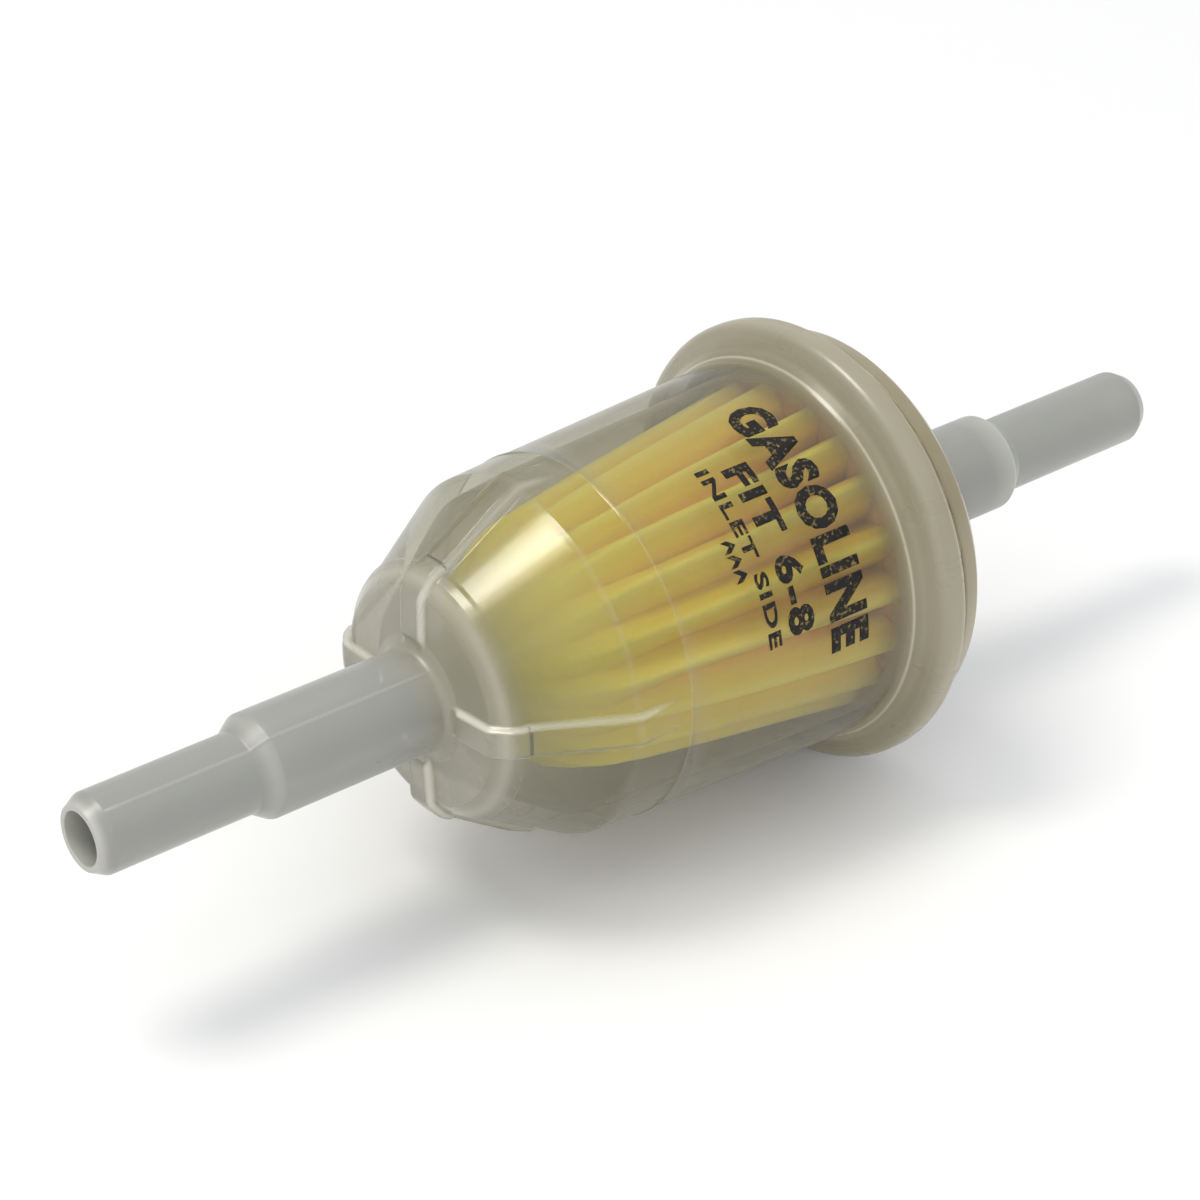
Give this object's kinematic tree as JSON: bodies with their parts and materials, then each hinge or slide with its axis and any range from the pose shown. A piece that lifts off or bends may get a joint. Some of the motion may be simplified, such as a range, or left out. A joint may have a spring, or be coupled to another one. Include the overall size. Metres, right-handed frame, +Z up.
{
  "type": "in-line fuel filter",
  "caption": "In-line fuel filter with a clear ribbed plastic shell, a stepped hose spigot at each end and a pleated paper cone inside.",
  "frame": {"origin": "centre of the bounding box, which is on the filter's axis half way between the two spigot tips", "axes": "+X along the axis from the inlet tip to the outlet tip, in the direction of flow; +Z up, with the printed side of the body facing up and towards -Y"},
  "size_m": [0.1042, 0.0364, 0.0364],
  "materials": {
    "housing_plastic": "translucent milky moulding",
    "cover_plastic": "translucent moulding, slightly yellowed",
    "weld_plastic": "melted bead",
    "filter_paper": "matt resin-treated paper",
    "adhesive": "amber set adhesive"
  },
  "bodies": {
    "root": {"inlet_housing": "housing_plastic", "outlet_cover": "cover_plastic", "weld_ring": "weld_plastic", "filter_paper": "filter_paper", "seam_adhesive": "adhesive", "nose_seal": "adhesive", "base_seal": "adhesive"}
  },
  "joints": []
}
